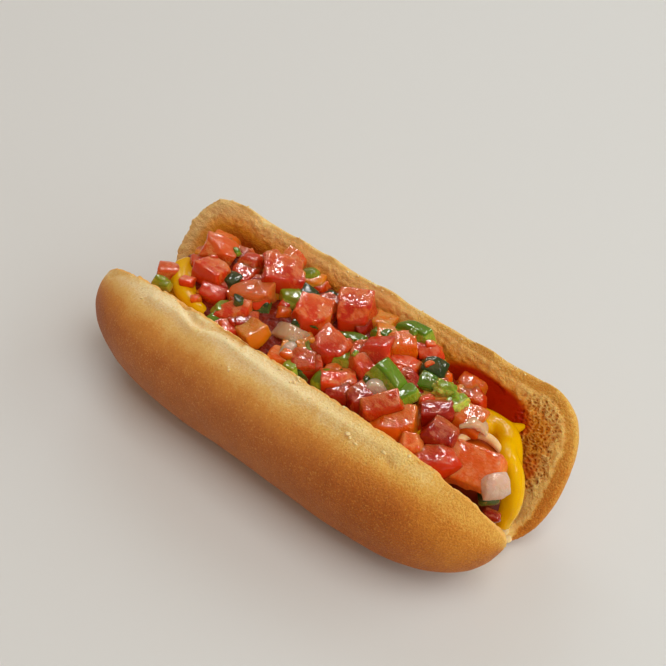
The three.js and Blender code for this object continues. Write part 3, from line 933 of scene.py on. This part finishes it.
class HOTDOG_OT_bun(bpy.types.Operator):
    """Makes the split bun from its solid, with its folds, torn crumb and browned crust"""

    bl_idname = "hotdog.bun"
    bl_label = "Bun"

    def execute(self, context):
        look = context.scene.hot_dog.bun
        loaf = bread(look)
        places = points(loaf)
        inner = inner_face(places)
        depth = torn_depth(places, rim_distance(places, inner))
        crumb = inner * smoothstep(-0.3, 0.3, depth)
        painted(loaf, "crumb", crumb)
        painted(loaf, "bake", bake_share(places, crumb, depth))
        painted(loaf, "soaked", patch(places, SOAKED) * crumb)
        tear_crust(loaf)
        tear_crumb(loaf, look, crumb, depth)
        painted(loaf, "pores", open_pores(loaf, look))
        places = points(loaf)
        places[:, 2] = np.maximum(places[:, 2], 0)
        move_points(loaf, places)
        finished(loaf, bun_finish(look), "bun", "bun")
        return {"FINISHED"}


class HOTDOG_OT_crumbs(bpy.types.Operator):
    """Scatters crumbs on the crust and along the torn edges"""

    bl_idname = "hotdog.crumbs"
    bl_label = "Crumbs"

    def execute(self, context):
        look = context.scene.hot_dog.bun
        tree = ground(["bread"])
        draw = seeded_random(LOOSE_CRUMBS["seed"])
        spots = list(CRUMBS)
        for number in range(LOOSE_CRUMBS["count"]):
            x = LOOSE_CRUMBS["from"] + (LOOSE_CRUMBS["to"] - LOOSE_CRUMBS["from"]) * next(draw)
            start, width = LOOSE_CRUMBS["domed" if number % 2 else "flat"]
            y = start + width * next(draw) ** (2 if number % 2 else 1)
            spots.append((x, y, random_size(LOOSE_CRUMBS, draw, power=2)))
        pieces = []
        for x, y, size in spots:
            place = dropped(tree, x, y)
            if place is None:
                continue
            crumb = added(bpy.ops.mesh.primitive_ico_sphere_add, subdivisions=2, radius=size / 2 * MM)
            shape = points(crumb)
            lumps = 1 + 0.5 * waves(shape + [x, y, 0], 0.8 * size)
            stretch = [0.8 + 0.6 * next(draw), 0.8 + 0.5 * next(draw), 0.6 + 0.3 * next(draw)]
            move_points(crumb, shape * lumps[:, None] * stretch + [place.x, place.y, place.z + 0.15 * size])
            pieces.append(crumb)
        finished(joined(pieces, "crumbs"), crumb_finish(look), "bun")
        return {"FINISHED"}


# ---- frankfurter, mustard and cream sauce ----
class HOTDOG_OT_frankfurter(bpy.types.Operator):
    """Makes the frankfurter: a round-ended sausage, slightly bowed"""

    bl_idname = "hotdog.frankfurter"
    bl_label = "Frankfurter"

    def execute(self, context):
        radius, length = SAUSAGE["radius"], SAUSAGE["to"] - SAUSAGE["from"]
        meat = settled(added(bpy.ops.mesh.primitive_uv_sphere_add, segments=48, ring_count=32,
                             radius=radius * MM, rotation=(0, math.pi / 2, 0)))
        meat.name = "frankfurter"
        places = points(meat)
        along = places[:, 0] / radius
        places[:, 0] += np.sign(along) * (length / 2 - radius) * smoothstep(0, 0.2, np.abs(along))
        places[:, 1] += SAUSAGE["y"] + SAUSAGE["bow"] * (1 - (places[:, 0] / (length / 2)) ** 2)
        places += [(SAUSAGE["from"] + SAUSAGE["to"]) / 2, 0, SAUSAGE["z"]]
        move_points(meat, places)
        remeshed(meat, SAUSAGE["grain"] * MM, smoothing=6)
        roughened(meat, size=9, height=0.5)
        x, _, z = points(meat).T
        painted(meat, "oily", smoothstep(*SAUSAGE["oily_z"], z) * smoothstep(*SAUSAGE["oily_x"], x))
        finished(meat, frankfurter_finish(context.scene.hot_dog.sausage), "frankfurter", "sausage")
        return {"FINISHED"}


def mustard_height(x, y):
    """Height of the mustard's middle line, riding round the frankfurter."""
    ride = SAUSAGE["radius"] + MUSTARD["radius"] - MUSTARD["sunk"]
    past_end = max(0, abs(x) - SAUSAGE["to"] + SAUSAGE["radius"])
    across = y - SAUSAGE["y"]
    return SAUSAGE["z"] + math.sqrt(max(ride ** 2 - across ** 2 - past_end ** 2, 30))


def squeezed_line(name, places, radii):
    """A line of sauce through these places in millimetres, with a radius at each."""
    curve = bpy.data.curves.new(name, "CURVE")
    curve.dimensions = "3D"
    curve.bevel_depth = 1
    curve.bevel_resolution = 3
    curve.use_fill_caps = True
    spline = curve.splines.new("NURBS")
    spline.points.add(len(places) - 1)
    for point, place, radius in zip(spline.points, places, radii):
        point.co = (*(MM * c for c in place), 1)
        point.radius = radius * MM
    spline.order_u = 4
    spline.use_endpoint_u = True
    only(linked(name, curve))
    bpy.ops.object.convert(target="MESH")
    return bpy.context.object


def run_together(pieces, name, grain, smoothing):
    """Joins lines of sauce into one smooth closed mesh."""
    sauce = joined(pieces, name)
    remeshed(sauce, grain, smoothing)
    return sauce


class HOTDOG_OT_mustard(bpy.types.Operator):
    """Squeezes the mustard in a wave over the frankfurter and down its near end"""

    bl_idname = "hotdog.mustard"
    bl_label = "Mustard"

    def execute(self, context):
        look = context.scene.hot_dog.sauce
        wave = []
        for x in range(MUSTARD["from"], MUSTARD["to"] + 1, MUSTARD["step"]):
            turn = 2 * math.pi * (x - MUSTARD["peak"]) / MUSTARD["wave"]
            y = SAUSAGE["y"] + MUSTARD["swing"] * math.cos(turn)
            wave.append((x, y, mustard_height(x, y)))
        wave += MUSTARD_END
        radii = [MUSTARD["radius"] * (1 + 0.08 * math.sin(1.7 * i)) for i in range(len(wave))]
        radii[0] *= MUSTARD["start"]
        radii[-1] *= MUSTARD["tail"]
        lines = [squeezed_line("mustard", wave, radii)]
        for thick in MUSTARD_THICK:
            lines.append(squeezed_line("mustard", [spot[:3] for spot in thick], [spot[3] for spot in thick]))
        mustard = run_together(lines, "mustard", look.grain, smoothing=14)
        finish = sauce_finish("mustard", look.mustard, look.mustard_shade, gloss=0.16, soft=0.25)
        finished(mustard, finish, "mustard", "sausage")
        return {"FINISHED"}


class HOTDOG_OT_cream(bpy.types.Operator):
    """Runs the cream-coloured sauce round the bare top of the frankfurter"""

    bl_idname = "hotdog.cream"
    bl_label = "Cream sauce"

    def execute(self, context):
        look = context.scene.hot_dog.sauce
        radii = [CREAM["radius"]] * len(CREAM_LINE)
        radii[0] = radii[-1] = CREAM["end"]
        line = squeezed_line("cream_sauce", CREAM_LINE, radii)
        cream = run_together([line], "cream_sauce", look.grain / 2, smoothing=6)
        finish = sauce_finish("cream_sauce", look.cream, look.cream_shade, gloss=0.3, soft=0.3)
        finished(cream, finish, "sauce")
        return {"FINISHED"}


# ---- salsa ----
# The corners of a die in the order in which they are drawn, as signs along x, y and z.
CORNERS = [(1, 1, 1), (1, -1, 1), (1, 1, -1), (1, -1, -1), (-1, 1, -1), (-1, -1, -1), (-1, 1, 1), (-1, -1, 1)]


def die_shape(place, draw):
    """A die's corners about its middle, and the matrix that puts it in place."""
    x, y, z, long, wide, turn, name = place
    half = np.array([long, wide, DIE["height"] * wide]) / 2
    narrow = 1 - DIE["taper"] * next(draw)
    corners = {}
    for signs in CORNERS:
        stretch = np.array([1 + DIE["uneven"] * either_way(draw) for _ in range(3)])
        top = narrow if signs[2] > 0 else 1
        corners[signs] = half * signs * stretch * [top, top, 1]
    tip_x = math.radians(DIE["tip"] * either_way(draw))
    tip_y = math.radians(DIE["tip"] * either_way(draw))
    turned = (Matrix.Translation(Vector((x, y, z)) * MM) @ Matrix.Rotation(math.radians(turn), 4, "Z")
              @ Matrix.Rotation(tip_y, 4, "Y") @ Matrix.Rotation(tip_x, 4, "X"))
    return {"corners": corners, "matrix": turned, "half": half, "turn": turn, "tone": name}


def salsa_dice():
    """The shapes of all dice, drawn in one order, kind by kind."""
    draw = seeded_random(DIE["seed"])
    return {kind: [die_shape(place, draw) for place in KINDS[kind]["dice"]] for kind in KINDS}


def bed_height(x, y):
    """Height of the top of the salsa's bed."""
    along = (x - CORE["x"]) / CORE["half_long"]
    across = (y - CORE["y"]) / CORE["half_wide"]
    return CORE["z"] + CORE["half_high"] * math.sqrt(max(0, 1 - along ** 2 - across ** 2))


def kept_clear(x, y, size):
    """Whether something of this size would cover a place that stays bare."""
    return any(math.hypot(x - bare_x, y - bare_y) < radius + size / 2
               for bare_x, bare_y, radius in KEEP_CLEAR)


def drawn_tone(kind, draw):
    """One of the tones that this kind's small pieces have."""
    tones = KINDS[kind]["tones"]
    return tones[int(len(tones) * next(draw))]


def chunk_shapes(kind, draw):
    """Shapes of chunks that lie half sunk in the bed, in the gaps between the dice."""
    shapes = []
    for _ in range(KINDS[kind]["chunks"]):
        x = CORE["x"] + CHUNK["long_share"] * CORE["half_long"] * either_way(draw)
        y = CORE["y"] + CHUNK["wide_share"] * CORE["half_wide"] * either_way(draw)
        size = random_size(CHUNK, draw)
        name = drawn_tone(kind, draw)
        long, turn = size * (1 + 0.4 * next(draw)), 180 * next(draw)
        z = bed_height(x, y) + CHUNK["raised"] * size
        shape = die_shape((x, y, z, long, size, turn, name), draw)
        if not kept_clear(x, y, size):
            shapes.append(shape)
    return shapes


def bit_shapes(kind, draw, tree):
    """Shapes of small bits that lie on the dice and in the gaps."""
    shapes = []
    for _ in range(KINDS[kind]["bits"]):
        x = BIT["from"] + (BIT["to"] - BIT["from"]) * next(draw)
        y = CORE["y"] + BIT["wide_share"] * CORE["half_wide"] * either_way(draw)
        size = random_size(BIT, draw, power=2)
        name = drawn_tone(kind, draw)
        long, turn = size * (1.1 + 0.9 * next(draw)), 180 * next(draw)
        place = dropped(tree, x, y)
        if place and not kept_clear(x, y, size):
            z = place.z - BIT["sunk"] * size
            shapes.append(die_shape((x, y, z, long, size, turn, name), draw))
    return shapes


def cut_off(die, plane_at, normal):
    """Cuts a die along a plane and closes the cut."""
    edited(die, bpy.ops.mesh.bisect, plane_co=Vector(plane_at) * MM, plane_no=Vector(normal), use_fill=True,
           clear_outer=True)


def trimmed(die, half, draw):
    """Cuts two edges and three corners off a die, as a quick knife does."""
    for edge_along in (int(2.99 * next(draw)), int(2.99 * next(draw)), None, None, None):
        way = np.array([1 if next(draw) > 0.5 else -1 for _ in range(3)], float)
        way *= [KNIFE["skew"] + (1 - KNIFE["skew"]) * next(draw) for _ in range(3)]
        if edge_along is not None:
            way[edge_along] = 0
        normal = way / half
        reach = float(np.abs(normal) @ half) * (KNIFE["reach"] + KNIFE["spread"] * next(draw))
        cut_off(die, normal / (normal @ normal) * reach, normal)


def skin_side(shape, kind, draw):
    """The local direction that a die's skin faces."""
    if KINDS[kind]["skin"] == "top" or next(draw) < 0.15:
        return np.array((0, 0, 1))
    turn = math.radians(shape["turn"])
    sides = [(1, 0), (0, 1), (-1, 0), (0, -1)]
    facing = [(x * math.cos(turn) - y * math.sin(turn)) * FRONT[0]
              + (x * math.sin(turn) + y * math.cos(turn)) * FRONT[1] for x, y in sides]
    return np.array((*sides[int(np.argmax(facing))], 0))


def curled(die, half):
    """Thins a die to a slice that arches over the same place."""
    edited(die, bpy.ops.mesh.subdivide, number_cuts=7)
    places = points(die)
    arch = half[2] * (CURL["rise"] - CURL["droop"] * (places[:, 0] / half[0]) ** 2)
    side = np.sign(places[:, 2]) * (np.abs(places[:, 2]) > 0.3 * half[2])
    places[:, 2] = CURL["half_thick"] * side + arch
    move_points(die, places)


def cut_die(shape, form, draw):
    """A cube with its corners moved, cut to its form."""
    die = added(bpy.ops.mesh.primitive_cube_add, size=2)
    half = shape["half"]
    for vertex in die.data.vertices:
        signs = tuple(int(round(c)) for c in vertex.co)
        vertex.co = Vector(shape["corners"][signs]) * MM
    if form in ("block", "worn"):
        trimmed(die, half, draw)
    for share, way in CUTS.get(form, ()):
        cut_off(die, half * share, way)
    if form == "curl":
        curled(die, half)
    return die


def soften(die, half, form, look, draw):
    """Rounds a die's edges, then pulls it towards a ball, or twists and tapers it, as its form asks."""
    size = float(half[1])
    modified(die, "BEVEL", width=min(look.edge, DIE["bevel"] * size * MM), segments=2, limit_method="ANGLE")
    remeshed(die, look.fine + (look.grain - look.fine) * min(1, max(0, (size - 1) / 3)))
    if form in ROUNDNESS:
        modified(die, "CAST", factor=ROUNDNESS[form], cast_type="SPHERE")
        full = half * KEPT_SIZE.get(form, 1)
        move_points(die, points(die) * (full / np.abs(points(die)).max(axis=0)))
    if form == "block":
        modified(die, "SIMPLE_DEFORM", deform_method="TWIST", deform_axis="Z",
                 angle=math.radians(TWIST["turn"]) * either_way(draw))
        modified(die, "SIMPLE_DEFORM", deform_method="TAPER", deform_axis="X",
                 factor=TWIST["taper"] * either_way(draw))
    modified(die, "SMOOTH", factor=0.5, iterations=1)
    modified(die, "DECIMATE", ratio=0.5)


def crumple(die, form, number, crag, rind):
    """Makes a die's cut faces uneven and its skin less so, each die in its own part of the clouds."""
    cut = masked(die, "cut", 1 - 0.8 * rind)
    shift = 40 * number
    move_points(die, points(die) + shift)
    if form == "knobbly":
        lifted(die, 1 - bubbles(points(die) + 7 * number, 2.2), -0.7)
    roughened(die, LUMPS["broad"], crag, cut)
    roughened(die, LUMPS["fine"], LUMPS["fine_share"] * crag, cut, depth=1)
    move_points(die, points(die) - shift)


def die_piece(shape, kind, look, number, draw):
    """One die: cut, softened, swollen on its skin side, uneven where it is cut, coloured and put in place."""
    form, half = FORMS.get(shape["tone"], "block"), shape["half"]
    die = cut_die(shape, form, draw)
    soften(die, half, form, look, draw)
    local = points(die) / half
    skin_way = skin_side(shape, kind, draw)
    depth = local @ skin_way
    round_middle = 1 - np.clip((local ** 2).sum(axis=1) - depth ** 2, 0, 1)
    out = TWIST["bulge"] * half * skin_way * (smoothstep(0.2, 0.9, depth) * round_middle)[:, None]
    move_points(die, points(die) + out)
    crag = KINDS[kind]["crag"] * CRAGGY.get(form, 1) * min(1, float(half[1]) / 3)
    crumple(die, form, number, crag, rind=smoothstep(0.6, 0.8, depth))
    flesh, skin = np.array(TONES[shape["tone"]]) * (SHADE["from"] + SHADE["spread"] * next(draw))
    painted(die, "flesh", np.tile(flesh, (len(local), 1)))
    painted(die, "skin", np.tile(skin, (len(local), 1)))
    painted(die, "rind", 0.5 + 0.5 * np.clip(depth, -1, 1))
    die.vertex_groups.clear()
    die.matrix_world = shape["matrix"]
    return settled(die)


def diced(context, kind, name, shapes, *nodes):
    """Makes the pieces of one kind from their shapes and joins them."""
    look = context.scene.hot_dog.salsa
    draw = seeded_random(KINDS[kind]["seed"] + len(shapes))
    pieces = [die_piece(shape, kind, look, number, draw) for number, shape in enumerate(shapes)]
    finish = bpy.data.materials.get(kind + "_flesh") or diced_finish(kind, look)
    finished(joined(pieces, name), finish, kind, *nodes)
    return {"FINISHED"}


def dice_and_chunks(context, kind):
    """The dice that the solid has too, and chunks of the same kind in the gaps between them."""
    shapes = salsa_dice()[kind] + chunk_shapes(kind, seeded_random(KINDS[kind]["seed"]))
    return diced(context, kind, kind + "_dice", shapes, "salsa")


class HOTDOG_OT_tomato(bpy.types.Operator):
    """Cuts the tomato dice, with skin on one side"""

    bl_idname = "hotdog.tomato"
    bl_label = "Tomato dice"

    def execute(self, context):
        return dice_and_chunks(context, "tomato")


class HOTDOG_OT_chilli(bpy.types.Operator):
    """Cuts the green chilli dice"""

    bl_idname = "hotdog.chilli"
    bl_label = "Chilli dice"

    def execute(self, context):
        return dice_and_chunks(context, "chilli")


class HOTDOG_OT_onion(bpy.types.Operator):
    """Cuts the onion dice and its curled slices"""

    bl_idname = "hotdog.onion"
    bl_label = "Onion dice"

    def execute(self, context):
        return dice_and_chunks(context, "onion")


class HOTDOG_OT_bits(bpy.types.Operator):
    """Drops small bits of each kind on the dice and in the gaps"""

    bl_idname = "hotdog.bits"
    bl_label = "Small bits"

    def execute(self, context):
        tree = ground(["salsa_bed", "tomato_dice", "chilli_dice", "onion_dice"])
        for kind in KINDS:
            draw = seeded_random(KINDS[kind]["seed"] + 1)
            shapes = [die_shape(place, draw) for place in SET_BITS[kind]] + bit_shapes(kind, draw, tree)
            diced(context, kind, kind + "_bits", shapes)
        return {"FINISHED"}


class HOTDOG_OT_salsa_bed(bpy.types.Operator):
    """Makes the bed of wet pulp that the dice lie in"""

    bl_idname = "hotdog.salsa_bed"
    bl_label = "Salsa bed"

    def execute(self, context):
        middle, half = [CORE[c] for c in "xyz"], [CORE["half_" + way] for way in ("long", "wide", "high")]
        bed = added(bpy.ops.mesh.primitive_uv_sphere_add, segments=64, ring_count=48, radius=1)
        bed.name = "salsa_bed"
        places = points(bed) * MM
        places = np.sign(places) * np.abs(places) ** 0.8
        move_points(bed, places * half + middle)
        remeshed(bed, CORE["grain"] * MM, smoothing=4)
        roughened(bed, size=5, height=2.5, depth=3)
        roughened(bed, size=1.8, height=0.8, depth=1)
        finished(bed, salsa_bed_finish(context.scene.hot_dog.salsa), "salsa", "salsa")
        return {"FINISHED"}


# ---- stage ----
def aimed_light(name, turn, height, size, power, colour):
    """A square area light at this turn from +X and this height in degrees, aimed at the food."""
    turn, height = math.radians(turn), math.radians(height)
    way = Vector((math.cos(turn) * math.cos(height), math.sin(turn) * math.cos(height), math.sin(height)))
    light = bpy.data.lights.new(name, "AREA")
    light.energy = power
    light.size = size
    light.color = colour
    lamp = linked(name, light)
    lamp.location = Vector(LIGHT["at"]) * MM + LIGHT["away"] * way
    lamp.rotation_euler = (-way).to_track_quat("-Z", "Y").to_euler()
    return lamp


class HOTDOG_OT_stage(bpy.types.Operator):
    """Lays the pale floor, lights it softly and sets the camera"""

    bl_idname = "hotdog.stage"
    bl_label = "Floor, light and camera"

    def execute(self, context):
        look = context.scene.hot_dog.stage
        floor = added(bpy.ops.mesh.primitive_plane_add, size=FLOOR_SIZE)
        floor.name = "floor"
        m = Finish("pale_floor")
        m.surface(Base_Color=look.floor[:], Roughness=0.6, Specular_IOR_Level=0)
        floor.data.materials.append(m.material)
        for name, (turn, height, colour) in SOFT_LIGHTS.items():
            lamp = aimed_light(name, turn, height, LIGHT["soft"], getattr(look, name), colour)
            lamp.visible_glossy = False
        for turn, height in GLARE_CARDS:
            card = aimed_light("glare", turn, height, LIGHT["card"], look.glare, LIGHT["card_colour"])
            card.visible_diffuse = False
        world = bpy.data.worlds.new("room")
        world.use_nodes = True
        background = world.node_tree.nodes["Background"]
        background.inputs["Color"].default_value = (*look.ambient, 1)
        context.scene.world = world
        context.scene.view_settings.view_transform = "Standard"
        back = Vector((math.sin(look.azimuth) * math.cos(look.elevation),
                       -math.cos(look.azimuth) * math.cos(look.elevation), math.sin(look.elevation)))
        lens = bpy.data.cameras.new("camera")
        lens.lens = look.lens
        lens.sensor_width = SENSOR
        lens.clip_start = 0.01
        camera = linked("camera", lens)
        camera.location = Vector(look.target) + back * look.distance
        camera.rotation_euler = (-back).to_track_quat("-Z", "Y").to_euler()
        context.scene.camera = camera
        return {"FINISHED"}


class HOTDOG_PT_panel(bpy.types.Panel):
    """Lists the settings and the steps"""

    bl_idname = "HOTDOG_PT_panel"
    bl_label = "Hot Dog"
    bl_space_type = "VIEW_3D"
    bl_region_type = "UI"
    bl_category = "Hot Dog"

    def draw(self, context):
        settings = context.scene.hot_dog
        for group in ("bun", "sausage", "sauce", "salsa", "stage"):
            box = self.layout.box()
            look = getattr(settings, group)
            for name in look.__annotations__:
                box.prop(look, name)
        for step in STEPS:
            self.layout.operator(step.bl_idname)


LOOKS = (HotDogBunLook, HotDogSausageLook, HotDogSauceLook, HotDogSalsaLook, HotDogStageLook, HotDogSettings)
STEPS = (HOTDOG_OT_bun, HOTDOG_OT_crumbs, HOTDOG_OT_frankfurter, HOTDOG_OT_mustard, HOTDOG_OT_cream,
         HOTDOG_OT_salsa_bed, HOTDOG_OT_tomato, HOTDOG_OT_chilli, HOTDOG_OT_onion, HOTDOG_OT_bits,
         HOTDOG_OT_stage)


def register():
    for cls in (*LOOKS, *STEPS, HOTDOG_PT_panel):
        bpy.utils.register_class(cls)
    bpy.types.Scene.hot_dog = PointerProperty(type=HotDogSettings)


def unregister():
    del bpy.types.Scene.hot_dog
    for cls in reversed((*LOOKS, *STEPS, HOTDOG_PT_panel)):
        bpy.utils.unregister_class(cls)


def main():
    register()
    for step in STEPS:
        group, name = step.bl_idname.split(".")
        getattr(getattr(bpy.ops, group), name)()


if __name__ == "__main__":
    main()
